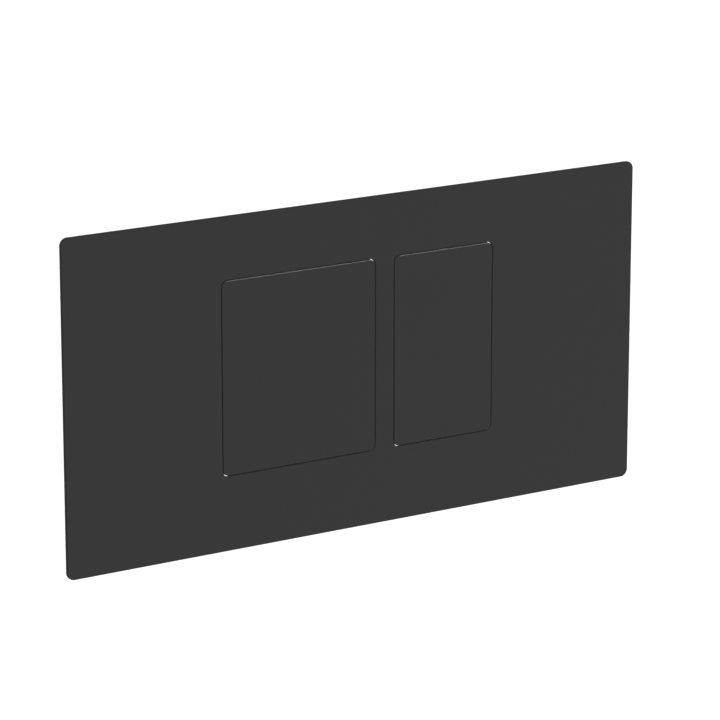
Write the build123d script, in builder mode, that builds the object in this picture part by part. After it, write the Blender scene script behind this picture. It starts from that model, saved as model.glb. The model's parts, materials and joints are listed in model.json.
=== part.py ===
from build123d import *
from collections import namedtuple
from math import cos, radians, sin
import os

# Flush button plate for a concealed cistern: a coated sheet with two hinged buttons, the moulded
# chassis that carries them, and the frame that holds it all in the wall opening.
# Frame: x to the right and z up as seen from the room, y into the wall. The origin is the middle
# of the plate on the wall's face. All sizes are millimetres.

# Face plate, a flat sheet with welded studs
PLATE_W = 275.0
PLATE_H = 140.0
PLATE_T = 1.2
PLATE_CORNER_R = 3.3
EDGE_CHAMFER = 0.3
WELD_STUD_D = 3.0
WELD_STUD_L = 6.5
WELD_STUD_EDGE_X = 11.5
WELD_STUD_EDGE_Z = 6.8
WELD_STUD_CLEAR = 0.2
PLATE_NUT_FLATS = 5.5
PLATE_NUT_T = 2.4
THREAD_CLEAR = 0.1

# Foam seal between the sheet and the wall
SEAL_T = 0.8
SEAL_INSET = 3.0
SEAL_W = 6.0

# Buttons, side by side in their cut-outs
KEY_H = 81.5
FULL_KEY_W = 72.8
HALF_KEY_W = 48.6
KEY_CORNER_R = 2.6
KEY_GAP = 0.3
BRIDGE_W = 8.8
KEY_RISE = 2.7
PRESS_ANGLE = 5.0
LEAST_CORNER_R = 0.4

# Drawn cap and the moulded carrier bonded into it
CAP_T = 0.8
CAP_SKIRT = 3.0
CAP_FIT = 0.1
CARRIER_PANEL_T = 2.0
CARRIER_WALL_T = 1.6
CARRIER_DEPTH = 9.2
RIB_T = 1.4
RIB_H = 4.2
RIB_LOW_DROP = 16.0

# Hinge pins
HINGE_D = 3.0
HINGE_CLEAR = 0.5
HINGE_TOP_CLEAR = 1.0
HINGE_RUNNING = 0.05
HINGE_SEAT = 0.02
LUG_WALL = 2.0
LUG_L = 4.0
PIN_END = 0.6

# Stop tabs that hold a released button flush, and pads that end its travel
TAB_W = 9.0
TAB_T = 1.8
TAB_CATCH = 2.6
TAB_CLEAR = 0.1
TAB_SIDE_CLEAR = 0.6
TAB_INSET = 14.0
SKIRT_CLEAR = 0.2
PAD_W = 9.0
PAD_H = 6.0
PAD_T = 2.2
PAD_TAPER = 12.0
PAD_INSET = 12.0
PAD_RISE = 4.2
PAD_CLEAR = 0.2

# Chassis, a moulded tray with a walled window for each button
CHASSIS_INSET_X = 28.0
CHASSIS_INSET_Z = 12.0
CHASSIS_CORNER_R = 6.0
CHASSIS_WALL = 2.0
WINDOW_MARGIN = 0.8
LEDGE_T = 2.0
LEDGE_H = 12.0
LEDGE_CLEAR = 1.0
BAY_RIB_T = 1.6
BAY_RIB_Z = 24.0
STRIP_RIB_X = 40.0

# Return springs, bent strips pushed into rails on the upper ledge
LEAF_T = 0.5
LEAF_W = 9.0
LEAF_INSET = 12.0
LEAF_STANDOFF = 4.0
LEAF_TOUCH_DROP = 30.0
LEAF_TOUCH_GAP = 0.2
LEAF_BEND_R = 3.0
LEAF_TIP_OUT = 3.0
LEAF_TIP_DROP = 5.0
LEAF_OVERHANG = 2.0
LEAF_TOP_GAP = 0.3
LEAF_RAIL_T = 1.4
LEAF_RAIL_LIP = 1.2
LEAF_RAIL_H = 9.0
LEAF_RAIL_CLEAR = 0.1

# Push rods, each hooked into a fork on its button
LEVER = 50.0
ROD_HEAD_D = 11.0
ROD_HEAD_T = 2.8
ROD_HEAD_CHAMFER = 0.8
ROD_HEAD_GAP = 0.7
ROD_D = 6.0
ROD_THREAD_L = 16.0
ROD_PAST_GUIDE = 10.0
ROD_RUNNING = 0.1
FORK_FLOOR = 1.2
FORK_POCKET = 4.4
FORK_LIP = 3.0
FORK_CHEEK = 2.2
FORK_SIDE_CLEAR = 0.7
FORK_TOP_T = 2.0
FORK_BELOW = 5.5
FORK_SLOT_CLEAR = 0.5
LOCK_NUT_FLATS = 10.0
LOCK_NUT_T = 4.0
EXTENSION_FLATS = 9.0
EXTENSION_L = 20.0
EXTENSION_END_T = 4.0
EXTENSION_TIP_CHAMFER = 1.2

# Mounting frame in the wall opening, with the rod guides
HOOK_FIT = 0.3
HOOK_W = 12.0
HOOK_Z = 34.0
HOOK_BARB = 1.6
HOOK_CATCH_CLEAR = 0.2
HOOK_CATCH_L = 0.8
HOOK_LEAD = 3.0
FRAME_T = 3.0
FRAME_CORNER_R = 5.0
FRAME_WINDOW_EDGE = 5.7
FRAME_BAR_Z = 11.0
FRAME_WINDOW_R = 5.0
RIM_T = 2.0
RIM_H = 5.0
RIM_INSET = 4.0
CROSSBAR_H = 18.0
GUIDE_WALL = 2.4
GUIDE_L = 16.0
GUIDE_CLEAR = 2.0

# Fixing studs and their thumb nuts
STUD_D = 8.0
STUD_SLOT_L = 14.0
STUD_SLOT_CLEAR = 0.3
STUD_COLLAR_FLATS = 14.0
STUD_COLLAR_T = 3.0
STUD_COLLAR_CLEAR = 2.0
STUD_REACH = 36.0
STUD_FRONT = 3.0
DRIVE_SLOT_W = 1.6
DRIVE_SLOT_DEPTH = 2.0
THUMB_NUT_D = 18.0
THUMB_NUT_T = 8.0
THUMB_NUT_NOTCHES = 12
THUMB_NUT_NOTCH = 1.8

# Places worked out from the sizes above: depths along y first
INTO_WALL = (0, 1, 0)
UP = (0, 0, 1)
PLATE_BACK = -SEAL_T
PLATE_FRONT = PLATE_BACK - PLATE_T
CAP_BACK = PLATE_FRONT + CAP_SKIRT
FLANGE_BACK = CAP_BACK + SKIRT_CLEAR
PANEL_FRONT = PLATE_FRONT + CAP_T
PANEL_BACK = PANEL_FRONT + CARRIER_PANEL_T
CARRIER_BACK = PANEL_FRONT + CARRIER_DEPTH
CARRIER_EDGE = CAP_T + CAP_FIT

# Heights of the buttons and their hinge
KEY_TOP = KEY_RISE + KEY_H / 2
KEY_BOTTOM = KEY_RISE - KEY_H / 2
CARRIER_TOP = KEY_TOP - CARRIER_EDGE
CARRIER_BOTTOM = KEY_BOTTOM + CARRIER_EDGE
HINGE_Y = max(CAP_BACK, PANEL_BACK) + HINGE_CLEAR + HINGE_D / 2
HINGE_Z = CARRIER_TOP - CARRIER_WALL_T - HINGE_TOP_CLEAR - HINGE_D / 2
ROD_Z = HINGE_Z - LEVER

# The two buttons and the windows behind them
Key = namedtuple("Key", "name width x")
GROUP_W = FULL_KEY_W + HALF_KEY_W + BRIDGE_W + 4 * KEY_GAP
FULL = Key("full", FULL_KEY_W, -GROUP_W / 2 + KEY_GAP + FULL_KEY_W / 2)
HALF = Key("half", HALF_KEY_W, GROUP_W / 2 - KEY_GAP - HALF_KEY_W / 2)
KEYS = (FULL, HALF)
SIDES = {"left": -1, "right": 1}
WINDOW_EDGE = KEY_GAP + WINDOW_MARGIN
WINDOW_TOP = KEY_TOP + WINDOW_EDGE
WINDOW_BOTTOM = KEY_BOTTOM - WINDOW_EDGE
WINDOW_WALL_EDGE = WINDOW_EDGE + CHASSIS_WALL
WINDOWS_HALF_W = GROUP_W / 2 + WINDOW_MARGIN + CHASSIS_WALL

# Chassis, its studs and its ledges
CHASSIS_W = PLATE_W - 2 * CHASSIS_INSET_X
CHASSIS_H = PLATE_H - 2 * CHASSIS_INSET_Z
CHASSIS_INNER_X = CHASSIS_W / 2 - CHASSIS_WALL
CHASSIS_INNER_Z = CHASSIS_H / 2 - CHASSIS_WALL
BAY_W = CHASSIS_INNER_X - WINDOWS_HALF_W
WELD_STUD_X = CHASSIS_W / 2 - WELD_STUD_EDGE_X
WELD_STUD_Z = CHASSIS_H / 2 - WELD_STUD_EDGE_Z
WELD_STUD_SPOTS = [(x, z) for x in (-WELD_STUD_X, WELD_STUD_X) for z in (-WELD_STUD_Z, WELD_STUD_Z)]
UPPER_LEDGE_FRONT = CARRIER_BACK + LEAF_STANDOFF
UPPER_LEDGE_BACK = UPPER_LEDGE_FRONT + LEDGE_T
UPPER_LEDGE_END = WINDOW_TOP - LEDGE_H
TAB_FRONT = FLANGE_BACK + TAB_CLEAR
TAB_BOTTOM = WINDOW_BOTTOM - TAB_CATCH


def pressed_depth(y, z):
    """Depth that a point of a button reaches when the button is turned fully in about its hinge."""
    turn = radians(PRESS_ANGLE)
    return HINGE_Y + (y - HINGE_Y) * cos(turn) - (z - HINGE_Z) * sin(turn)


LOWER_LEDGE_FRONT = pressed_depth(CARRIER_BACK, CARRIER_BOTTOM) + PAD_CLEAR + PAD_T
CHASSIS_BACK = LOWER_LEDGE_FRONT + LEDGE_T + LEDGE_CLEAR
TAB_SLOT_BACK = pressed_depth(TAB_FRONT + TAB_T, TAB_BOTTOM) + TAB_SIDE_CLEAR
PAD_Z = WINDOW_BOTTOM + PAD_RISE
LEAF_RAIL_BOTTOM = WINDOW_TOP - (LEDGE_H + LEAF_RAIL_H) / 2
LEAF_TOUCH_Z = HINGE_Z - LEAF_TOUCH_DROP

# Fork and push rod, from the button backwards
FORK_POCKET_FRONT = PANEL_BACK + FORK_FLOOR
FORK_POCKET_BACK = FORK_POCKET_FRONT + FORK_POCKET
FORK_BACK = FORK_POCKET_BACK + FORK_LIP
FORK_POCKET_W = ROD_HEAD_D + 2 * FORK_SIDE_CLEAR
FORK_W = FORK_POCKET_W + 2 * FORK_CHEEK
FORK_BOTTOM = ROD_Z - FORK_BELOW
FORK_POCKET_TOP = ROD_Z + ROD_HEAD_D / 2 + FORK_SIDE_CLEAR
ROD_HEAD_FRONT = FORK_POCKET_FRONT + ROD_HEAD_GAP
ROD_HEAD_BACK = ROD_HEAD_FRONT + ROD_HEAD_T
GUIDE_FRONT = pressed_depth(FORK_BACK, FORK_BOTTOM) + GUIDE_CLEAR
GUIDE_BACK = GUIDE_FRONT + GUIDE_L
GUIDE_W = ROD_D + 2 * ROD_RUNNING + 2 * GUIDE_WALL
LOCK_NUT_FRONT = GUIDE_BACK + ROD_PAST_GUIDE
EXTENSION_FRONT = LOCK_NUT_FRONT + LOCK_NUT_T
ROD_BACK = EXTENSION_FRONT + ROD_THREAD_L

# Mounting frame and fixing studs
FRAME_W = CHASSIS_W - 2 * (CHASSIS_WALL + HOOK_FIT)
FRAME_H = CHASSIS_H - 2 * (CHASSIS_WALL + HOOK_FIT)
FRAME_WINDOW_W = 2 * (WINDOWS_HALF_W + FRAME_WINDOW_EDGE)
FRAME_WINDOW_H = FRAME_H - 2 * FRAME_BAR_Z
FRAME_BACK = CHASSIS_BACK + FRAME_T
STUD_X = (WINDOWS_HALF_W + CHASSIS_INNER_X) / 2
COLLAR_BACK = FRAME_BACK + STUD_COLLAR_T
STUD_BACK = COLLAR_BACK + STUD_REACH
THUMB_NUT_FRONT = CHASSIS_BACK - THUMB_NUT_T


def upright(depth):
    """Sketch plane parallel to the wall at this depth, with x right and y up."""
    return Plane.XZ.offset(-depth)


def across(x):
    """Sketch plane square to the hinge at this x, with its x into the wall and its y up."""
    return Plane.YZ.offset(x)


def level(z):
    """Flat sketch plane at this height, with its y into the wall."""
    return Plane.XY.offset(z)


def key_outline(key, margin, mode=Mode.ADD):
    """Rounded outline of a button in the plate, grown by this margin."""
    radius = max(KEY_CORNER_R + margin, LEAST_CORNER_R)
    with Locations((key.x, KEY_RISE)):
        RectangleRounded(key.width + 2 * margin, KEY_H + 2 * margin, radius, mode=mode)


def leaf_places(key):
    """x of the return springs of a button, by side."""
    return {side: key.x + sign * (key.width / 2 - LEAF_INSET) for side, sign in SIDES.items()}


def save(builder, name):
    """Label a finished piece and write it."""
    builder.part.label = name
    export_step(builder.part, f"parts/{name}.step")


os.makedirs("parts", exist_ok=True)

# Face plate: flat sheet, softened front edges, studs on the back
with BuildPart() as face_plate:
    with BuildSketch(upright(PLATE_FRONT)):
        RectangleRounded(PLATE_W, PLATE_H, PLATE_CORNER_R)
        for key in KEYS:
            key_outline(key, KEY_GAP, Mode.SUBTRACT)
    extrude(amount=PLATE_T, dir=INTO_WALL)
    chamfer(face_plate.edges().group_by(Axis.Y)[0], EDGE_CHAMFER)
    with BuildSketch(upright(PLATE_BACK)):
        with Locations(*WELD_STUD_SPOTS):
            Circle(WELD_STUD_D / 2)
    extrude(amount=WELD_STUD_L, dir=INTO_WALL)
save(face_plate, "face_plate")

# Nuts that hold the chassis on the welded studs
with BuildPart() as plate_nuts:
    with BuildSketch(upright(FLANGE_BACK)):
        with Locations(*WELD_STUD_SPOTS):
            RegularPolygon(PLATE_NUT_FLATS / 2, 6, major_radius=False)
            Circle(WELD_STUD_D / 2 + THREAD_CLEAR, mode=Mode.SUBTRACT)
    extrude(amount=PLATE_NUT_T, dir=INTO_WALL)
save(plate_nuts, "plate_nuts")

# Foam ring that the sheet presses on the wall
with BuildPart() as wall_seal:
    with BuildSketch(upright(PLATE_BACK)):
        RectangleRounded(PLATE_W - 2 * SEAL_INSET, PLATE_H - 2 * SEAL_INSET, PLATE_CORNER_R)
        inner_inset = SEAL_INSET + SEAL_W
        Rectangle(PLATE_W - 2 * inner_inset, PLATE_H - 2 * inner_inset, mode=Mode.SUBTRACT)
    extrude(amount=SEAL_T, dir=INTO_WALL)
save(wall_seal, "wall_seal")

# Button caps: drawn sheet with a short skirt
for key in KEYS:
    with BuildPart() as button_cap:
        with BuildSketch(upright(PLATE_FRONT)):
            key_outline(key, 0)
        extrude(amount=CAP_SKIRT, dir=INTO_WALL)
        chamfer(button_cap.edges().group_by(Axis.Y)[0], EDGE_CHAMFER)
        with BuildSketch(upright(PANEL_FRONT)):
            key_outline(key, -CAP_T)
        extrude(amount=CAP_SKIRT, dir=INTO_WALL, mode=Mode.SUBTRACT)
    save(button_cap, f"{key.name}_button_cap")

# Button carriers: ribbed mouldings with hinge lugs, stop tabs and the push rod's fork
for key in KEYS:
    inner_w = key.width - 2 * (CARRIER_EDGE + CARRIER_WALL_T)
    inner_h = KEY_H - 2 * (CARRIER_EDGE + CARRIER_WALL_T)
    floor_z = CARRIER_BOTTOM + CARRIER_WALL_T
    fork_rib_x = (FORK_W - RIB_T) / 2
    tab_x = key.width / 2 - TAB_INSET
    with BuildPart() as button_carrier:
        # Panel against the cap, with a rim round it
        with BuildSketch(upright(PANEL_FRONT)):
            key_outline(key, -CARRIER_EDGE)
        extrude(amount=CARRIER_DEPTH, dir=INTO_WALL)
        with BuildSketch(upright(PANEL_BACK)):
            with Locations((key.x, KEY_RISE)):
                Rectangle(inner_w, inner_h)
        extrude(amount=CARRIER_DEPTH, dir=INTO_WALL, mode=Mode.SUBTRACT)
        # Low ribs, and the full-depth rib that the springs press on
        with BuildSketch(upright(PANEL_BACK)):
            with Locations((key.x - fork_rib_x, floor_z), (key.x + fork_rib_x, floor_z)):
                Rectangle(RIB_T, LEAF_TOUCH_Z - floor_z, align=(Align.CENTER, Align.MIN))
            with Locations((key.x, ROD_Z - RIB_LOW_DROP)):
                Rectangle(inner_w, RIB_T)
        extrude(amount=RIB_H, dir=INTO_WALL)
        with BuildSketch(upright(PANEL_BACK)):
            with Locations((key.x, LEAF_TOUCH_Z)):
                Rectangle(inner_w, RIB_T)
        extrude(amount=CARRIER_BACK - PANEL_BACK, dir=INTO_WALL)
        # Hinge lugs inside both upper corners, with one running bore through them
        lug_top = KEY_RISE + inner_h / 2
        lug_h = lug_top - HINGE_Z + HINGE_D / 2 + LUG_WALL
        with BuildSketch(upright(PANEL_BACK)):
            with Locations((key.x, lug_top)):
                with GridLocations(inner_w - LUG_L, 0, 2, 1):
                    Rectangle(LUG_L, lug_h, align=(Align.CENTER, Align.MAX))
        extrude(amount=HINGE_Y + HINGE_D / 2 + LUG_WALL - PANEL_BACK, dir=INTO_WALL)
        with BuildSketch(across(key.x - key.width / 2)):
            with Locations((HINGE_Y, HINGE_Z)):
                Circle(HINGE_D / 2 + HINGE_RUNNING)
        extrude(amount=key.width, mode=Mode.SUBTRACT)
        # Fork: a pocket open below, with lips that hold the rod's head
        with BuildSketch(level(FORK_BOTTOM)):
            with Locations((key.x, PANEL_BACK)):
                Rectangle(FORK_W, FORK_BACK - PANEL_BACK, align=(Align.CENTER, Align.MIN))
        extrude(amount=FORK_POCKET_TOP + FORK_TOP_T - FORK_BOTTOM)
        with BuildSketch(level(FORK_BOTTOM)):
            with Locations((key.x, FORK_POCKET_FRONT)):
                Rectangle(FORK_POCKET_W, FORK_POCKET, align=(Align.CENTER, Align.MIN))
            with Locations((key.x, FORK_POCKET_BACK)):
                Rectangle(ROD_D + 2 * FORK_SLOT_CLEAR, FORK_LIP, align=(Align.CENTER, Align.MIN))
        extrude(amount=FORK_POCKET_TOP - FORK_BOTTOM, mode=Mode.SUBTRACT)
        # Stop tabs that catch behind the chassis flange
        with BuildSketch(upright(TAB_FRONT)):
            with Locations((key.x - tab_x, TAB_BOTTOM), (key.x + tab_x, TAB_BOTTOM)):
                tab_l = CARRIER_BOTTOM + CARRIER_WALL_T - TAB_BOTTOM
                Rectangle(TAB_W, tab_l, align=(Align.CENTER, Align.MIN))
        extrude(amount=TAB_T, dir=INTO_WALL)
    save(button_carrier, f"{key.name}_button_carrier")

# Chassis: flange, outer wall, window walls, ribs, ledges, hinge holes and snap hooks
with BuildPart() as chassis:
    with BuildSketch(upright(PLATE_BACK)):
        RectangleRounded(CHASSIS_W, CHASSIS_H, CHASSIS_CORNER_R)
        for key in KEYS:
            key_outline(key, WINDOW_EDGE, Mode.SUBTRACT)
        with Locations(*WELD_STUD_SPOTS):
            Circle(WELD_STUD_D / 2 + WELD_STUD_CLEAR, mode=Mode.SUBTRACT)
    extrude(amount=FLANGE_BACK - PLATE_BACK, dir=INTO_WALL)
    with BuildSketch(upright(FLANGE_BACK)):
        RectangleRounded(CHASSIS_W, CHASSIS_H, CHASSIS_CORNER_R)
        Rectangle(2 * CHASSIS_INNER_X, 2 * CHASSIS_INNER_Z, mode=Mode.SUBTRACT)
        # Ribs of the side bays and of the strips above and below the windows
        with GridLocations(CHASSIS_INNER_X + WINDOWS_HALF_W, 2 * BAY_RIB_Z, 2, 2):
            Rectangle(BAY_W + CHASSIS_WALL, BAY_RIB_T)
        with GridLocations(2 * STRIP_RIB_X, 0, 2, 1):
            Rectangle(BAY_RIB_T, CHASSIS_H - CHASSIS_WALL)
        for key in KEYS:
            with Locations((key.x, KEY_RISE)):
                Rectangle(key.width + 2 * WINDOW_WALL_EDGE, KEY_H + 2 * WINDOW_WALL_EDGE)
        for key in KEYS:
            key_outline(key, WINDOW_EDGE, Mode.SUBTRACT)
    extrude(amount=CHASSIS_BACK - FLANGE_BACK, dir=INTO_WALL)
    # Upper ledges for the springs, lower ledges for the stop pads
    with BuildSketch(upright(UPPER_LEDGE_FRONT)):
        for key in KEYS:
            with Locations((key.x, WINDOW_TOP)):
                Rectangle(key.width + 2 * WINDOW_EDGE, LEDGE_H, align=(Align.CENTER, Align.MAX))
    extrude(amount=LEDGE_T, dir=INTO_WALL)
    with BuildSketch(upright(LOWER_LEDGE_FRONT)):
        for key in KEYS:
            with Locations((key.x, WINDOW_BOTTOM)):
                Rectangle(key.width + 2 * WINDOW_EDGE, LEDGE_H, align=(Align.CENTER, Align.MIN))
    extrude(amount=LEDGE_T, dir=INTO_WALL)
    # Lipped rails on the upper ledges, one each side of every spring
    lip_y = UPPER_LEDGE_BACK + LEAF_T + LEAF_RAIL_CLEAR
    with BuildSketch(level(LEAF_RAIL_BOTTOM)):
        for key in KEYS:
            for leaf_x in leaf_places(key).values():
                for side in SIDES.values():
                    edge_x = leaf_x + side * (LEAF_W / 2 + LEAF_RAIL_CLEAR)
                    with Locations((edge_x + side * LEAF_RAIL_T / 2, UPPER_LEDGE_BACK)):
                        foot_h = lip_y + LEAF_RAIL_T - UPPER_LEDGE_BACK
                        Rectangle(LEAF_RAIL_T, foot_h, align=(Align.CENTER, Align.MIN))
                    with Locations((edge_x - side * LEAF_RAIL_LIP / 2, lip_y)):
                        Rectangle(LEAF_RAIL_LIP, LEAF_RAIL_T, align=(Align.CENTER, Align.MIN))
    extrude(amount=LEAF_RAIL_H)
    # Slots in the lower window walls for the stop tabs
    with BuildSketch(upright(FLANGE_BACK)):
        for key in KEYS:
            tab_x = key.width / 2 - TAB_INSET
            with Locations((key.x - tab_x, WINDOW_BOTTOM), (key.x + tab_x, WINDOW_BOTTOM)):
                Rectangle(
                    TAB_W + 2 * TAB_SIDE_CLEAR, CHASSIS_WALL, align=(Align.CENTER, Align.MAX)
                )
    extrude(amount=TAB_SLOT_BACK - FLANGE_BACK, dir=INTO_WALL, mode=Mode.SUBTRACT)
    # Hinge holes, in line through all four window walls
    with BuildSketch(across(-WINDOWS_HALF_W)):
        with Locations((HINGE_Y, HINGE_Z)):
            Circle(HINGE_D / 2 + HINGE_SEAT)
    extrude(amount=2 * WINDOWS_HALF_W, mode=Mode.SUBTRACT)
    # Snap hooks that grip the mounting frame's side edges
    catch_y = FRAME_BACK + HOOK_CATCH_CLEAR
    barb_y = catch_y + HOOK_CATCH_L
    for side in SIDES.values():
        for hook_z in (-HOOK_Z, HOOK_Z):
            with BuildSketch(level(hook_z - HOOK_W / 2)):
                with BuildLine():
                    Polyline(
                        (side * CHASSIS_W / 2, CHASSIS_BACK - CHASSIS_WALL),
                        (side * CHASSIS_W / 2, barb_y + HOOK_LEAD),
                        (side * CHASSIS_INNER_X, barb_y + HOOK_LEAD),
                        (side * (CHASSIS_INNER_X - HOOK_BARB), barb_y),
                        (side * (CHASSIS_INNER_X - HOOK_BARB), catch_y),
                        (side * CHASSIS_INNER_X, catch_y),
                        (side * CHASSIS_INNER_X, CHASSIS_BACK - CHASSIS_WALL),
                        close=True,
                    )
                make_face()
            extrude(amount=HOOK_W, dir=UP)
save(chassis, "chassis")

# Hinge pins: plain dowels held in the window walls
for key in KEYS:
    pin_reach = key.width / 2 + WINDOW_WALL_EDGE + PIN_END
    with BuildPart() as hinge_pin:
        with BuildSketch(across(key.x - pin_reach)):
            with Locations((HINGE_Y, HINGE_Z)):
                Circle(HINGE_D / 2)
        extrude(amount=2 * pin_reach)
    save(hinge_pin, f"{key.name}_hinge_pin")

# Return springs: strip flat on the upper ledge, then bent forward to the button's rib
leaf_root_y = UPPER_LEDGE_BACK
leaf_touch_y = CARRIER_BACK + LEAF_TOUCH_GAP
for key in KEYS:
    for side, leaf_x in leaf_places(key).items():
        with BuildPart() as leaf:
            with BuildSketch(across(leaf_x - LEAF_W / 2)):
                with BuildLine():
                    FilletPolyline(
                        (leaf_root_y, WINDOW_TOP - LEAF_TOP_GAP),
                        (leaf_root_y, UPPER_LEDGE_END - LEAF_OVERHANG),
                        (leaf_touch_y, LEAF_TOUCH_Z),
                        (leaf_touch_y + LEAF_TIP_OUT, LEAF_TOUCH_Z - LEAF_TIP_DROP),
                        radius=LEAF_BEND_R,
                    )
                    offset(amount=LEAF_T, side=Side.LEFT)
                make_face()
            extrude(amount=LEAF_W)
        save(leaf, f"{key.name}_leaf_{side}")

# Rubber pads on the lower ledges, tapered towards the button
with BuildPart() as stop_pads:
    with BuildSketch(upright(LOWER_LEDGE_FRONT)):
        for key in KEYS:
            pad_x = key.width / 2 - PAD_INSET
            with Locations((key.x - pad_x, PAD_Z), (key.x + pad_x, PAD_Z)):
                Rectangle(PAD_W, PAD_H)
    extrude(amount=PAD_T, taper=PAD_TAPER)
save(stop_pads, "stop_pads")

# Push rods: a chamfered head in the fork, and a shank threaded at its far end
for key in KEYS:
    with BuildPart() as push_rod:
        with BuildSketch(upright(ROD_HEAD_FRONT)):
            with Locations((key.x, ROD_Z)):
                Circle(ROD_HEAD_D / 2)
        extrude(amount=ROD_HEAD_T, dir=INTO_WALL)
        chamfer(push_rod.edges().group_by(Axis.Y)[0], ROD_HEAD_CHAMFER)
        with BuildSketch(upright(ROD_HEAD_BACK)):
            with Locations((key.x, ROD_Z)):
                Circle(ROD_D / 2)
        extrude(amount=ROD_BACK - ROD_HEAD_BACK, dir=INTO_WALL)
    save(push_rod, f"{key.name}_push_rod")

# Lock nuts on the rods' threads
for key in KEYS:
    with BuildPart() as lock_nut:
        with BuildSketch(upright(LOCK_NUT_FRONT)):
            with Locations((key.x, ROD_Z)):
                RegularPolygon(LOCK_NUT_FLATS / 2, 6, major_radius=False)
                Circle(ROD_D / 2 + THREAD_CLEAR, mode=Mode.SUBTRACT)
        extrude(amount=LOCK_NUT_T, dir=INTO_WALL)
    save(lock_nut, f"{key.name}_rod_lock_nut")

# Rod extensions: six-sided sleeves with a closed, chamfered end
for key in KEYS:
    with BuildPart() as extension:
        with BuildSketch(upright(EXTENSION_FRONT)):
            with Locations((key.x, ROD_Z)):
                RegularPolygon(EXTENSION_FLATS / 2, 6, major_radius=False)
        extrude(amount=EXTENSION_L, dir=INTO_WALL)
        chamfer(extension.edges().group_by(Axis.Y)[-1], EXTENSION_TIP_CHAMFER)
        with BuildSketch(upright(EXTENSION_FRONT)):
            with Locations((key.x, ROD_Z)):
                Circle(ROD_D / 2 + THREAD_CLEAR)
        extrude(amount=EXTENSION_L - EXTENSION_END_T, dir=INTO_WALL, mode=Mode.SUBTRACT)
    save(extension, f"{key.name}_rod_extension")

# Mounting frame: flat bars with rims, a crossbar with the rod guides, slots for the studs
rod_spots = [(key.x, ROD_Z) for key in KEYS]
with BuildPart() as mounting_frame:
    with BuildSketch(upright(CHASSIS_BACK)):
        RectangleRounded(FRAME_W, FRAME_H, FRAME_CORNER_R)
        RectangleRounded(FRAME_WINDOW_W, FRAME_WINDOW_H, FRAME_WINDOW_R, mode=Mode.SUBTRACT)
        with Locations((0, ROD_Z)):
            Rectangle(FRAME_WINDOW_W, CROSSBAR_H)
        with GridLocations(2 * STUD_X, 0, 2, 1):
            SlotOverall(STUD_SLOT_L, STUD_D + 2 * STUD_SLOT_CLEAR, mode=Mode.SUBTRACT)
    extrude(amount=FRAME_T, dir=INTO_WALL)
    # Rims round the outside and the window, ribs across the bars and along the crossbar
    rim_w = FRAME_W - 2 * RIM_INSET
    rim_h = FRAME_H - 2 * RIM_INSET
    with BuildSketch(upright(FRAME_BACK)):
        RectangleRounded(rim_w, rim_h, FRAME_CORNER_R)
        Rectangle(rim_w - 2 * RIM_T, rim_h - 2 * RIM_T, mode=Mode.SUBTRACT)
        with GridLocations((FRAME_WINDOW_W + rim_w) / 2, 2 * BAY_RIB_Z, 2, 2):
            Rectangle((rim_w - FRAME_WINDOW_W) / 2, RIM_T)
        Rectangle(FRAME_WINDOW_W + 2 * RIM_T, FRAME_WINDOW_H + 2 * RIM_T)
        RectangleRounded(FRAME_WINDOW_W, FRAME_WINDOW_H, FRAME_WINDOW_R, mode=Mode.SUBTRACT)
        # Room for the studs' collars, where the bars are narrow
        collar_room = STUD_COLLAR_FLATS + 2 * STUD_COLLAR_CLEAR
        with GridLocations(2 * STUD_X, 0, 2, 1):
            Rectangle(collar_room, collar_room, mode=Mode.SUBTRACT)
        with Locations((0, ROD_Z)):
            with GridLocations(0, CROSSBAR_H - RIM_T, 1, 2):
                Rectangle(FRAME_WINDOW_W, RIM_T)
    extrude(amount=RIM_H, dir=INTO_WALL)
    # Square guide bosses with round bores
    with BuildSketch(upright(GUIDE_FRONT)):
        with Locations(*rod_spots):
            Rectangle(GUIDE_W, GUIDE_W)
    extrude(amount=GUIDE_L, dir=INTO_WALL)
    with BuildSketch(upright(GUIDE_FRONT)):
        with Locations(*rod_spots):
            Circle(ROD_D / 2 + ROD_RUNNING)
    extrude(amount=GUIDE_L, dir=INTO_WALL, mode=Mode.SUBTRACT)
save(mounting_frame, "mounting_frame")

# Fixing studs: threaded both ends of a six-sided collar, with a driver slot in front
stud_front = THUMB_NUT_FRONT - STUD_FRONT
with BuildPart() as fixing_studs:
    with BuildSketch(upright(stud_front)):
        with GridLocations(2 * STUD_X, 0, 2, 1):
            Circle(STUD_D / 2)
    extrude(amount=STUD_BACK - stud_front, dir=INTO_WALL)
    with BuildSketch(upright(FRAME_BACK)):
        with GridLocations(2 * STUD_X, 0, 2, 1):
            RegularPolygon(STUD_COLLAR_FLATS / 2, 6, major_radius=False)
    extrude(amount=STUD_COLLAR_T, dir=INTO_WALL)
    with BuildSketch(upright(stud_front)):
        with GridLocations(2 * STUD_X, 0, 2, 1):
            Rectangle(STUD_D, DRIVE_SLOT_W)
    extrude(amount=DRIVE_SLOT_DEPTH, dir=INTO_WALL, mode=Mode.SUBTRACT)
save(fixing_studs, "fixing_studs")

# Thumb nuts with finger notches
with BuildPart() as fixing_nuts:
    with BuildSketch(upright(THUMB_NUT_FRONT)):
        with GridLocations(2 * STUD_X, 0, 2, 1):
            RegularPolygon(THUMB_NUT_D / 2, THUMB_NUT_NOTCHES)
            Circle(STUD_D / 2 + THREAD_CLEAR, mode=Mode.SUBTRACT)
            with PolarLocations(THUMB_NUT_D / 2, THUMB_NUT_NOTCHES):
                Rectangle(THUMB_NUT_NOTCH, THUMB_NUT_NOTCH, rotation=45, mode=Mode.SUBTRACT)
    extrude(amount=THUMB_NUT_T, dir=INTO_WALL)
save(fixing_nuts, "fixing_nuts")
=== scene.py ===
import json
import math

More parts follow.
